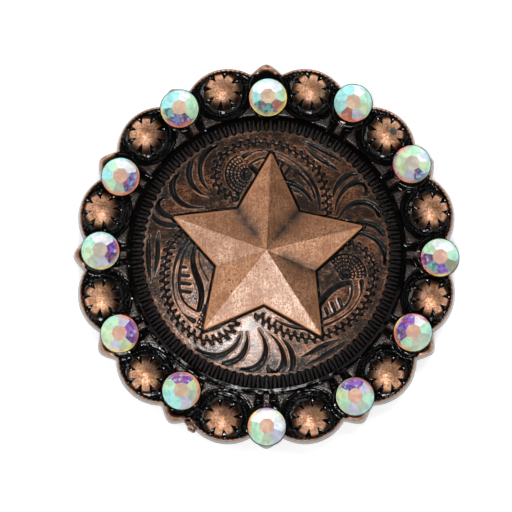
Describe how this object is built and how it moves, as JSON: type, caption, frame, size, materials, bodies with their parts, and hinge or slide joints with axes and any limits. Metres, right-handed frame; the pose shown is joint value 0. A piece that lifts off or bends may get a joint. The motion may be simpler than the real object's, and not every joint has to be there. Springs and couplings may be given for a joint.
{
  "type": "western berry concho",
  "caption": "Round scalloped metal ornament with a raised faceted star on an engraved dome, a rim of notched berries and glued crystals, and a threaded post in its back.",
  "frame": {"origin": "middle of the concho's round back, on the plane that it rests on", "axes": "+Z out of the face, along the shortest extent, with the back towards -Z; +Y is the picture's up, towards the star's top point, and +X is the picture's right"},
  "size_m": [0.038, 0.038, 0.0066],
  "materials": {
    "copper_casting": "antique copper plate over a zinc casting, brushed on the high places and blackened in the low ones",
    "post_metal": "copper plated, plain turned",
    "crystal_glass": "clear cut glass with a rainbow coating on the face and foil on the back, so it isn't see-through"
  },
  "bodies": {
    "root": {"concho_body": "copper_casting", "back_post": "post_metal", "crystal_01": "crystal_glass", "crystal_02": "crystal_glass", "crystal_03": "crystal_glass", "crystal_04": "crystal_glass", "crystal_05": "crystal_glass", "crystal_06": "crystal_glass", "crystal_07": "crystal_glass", "crystal_08": "crystal_glass", "crystal_09": "crystal_glass", "crystal_10": "crystal_glass", "crystal_11": "crystal_glass", "crystal_12": "crystal_glass"}
  },
  "joints": []
}
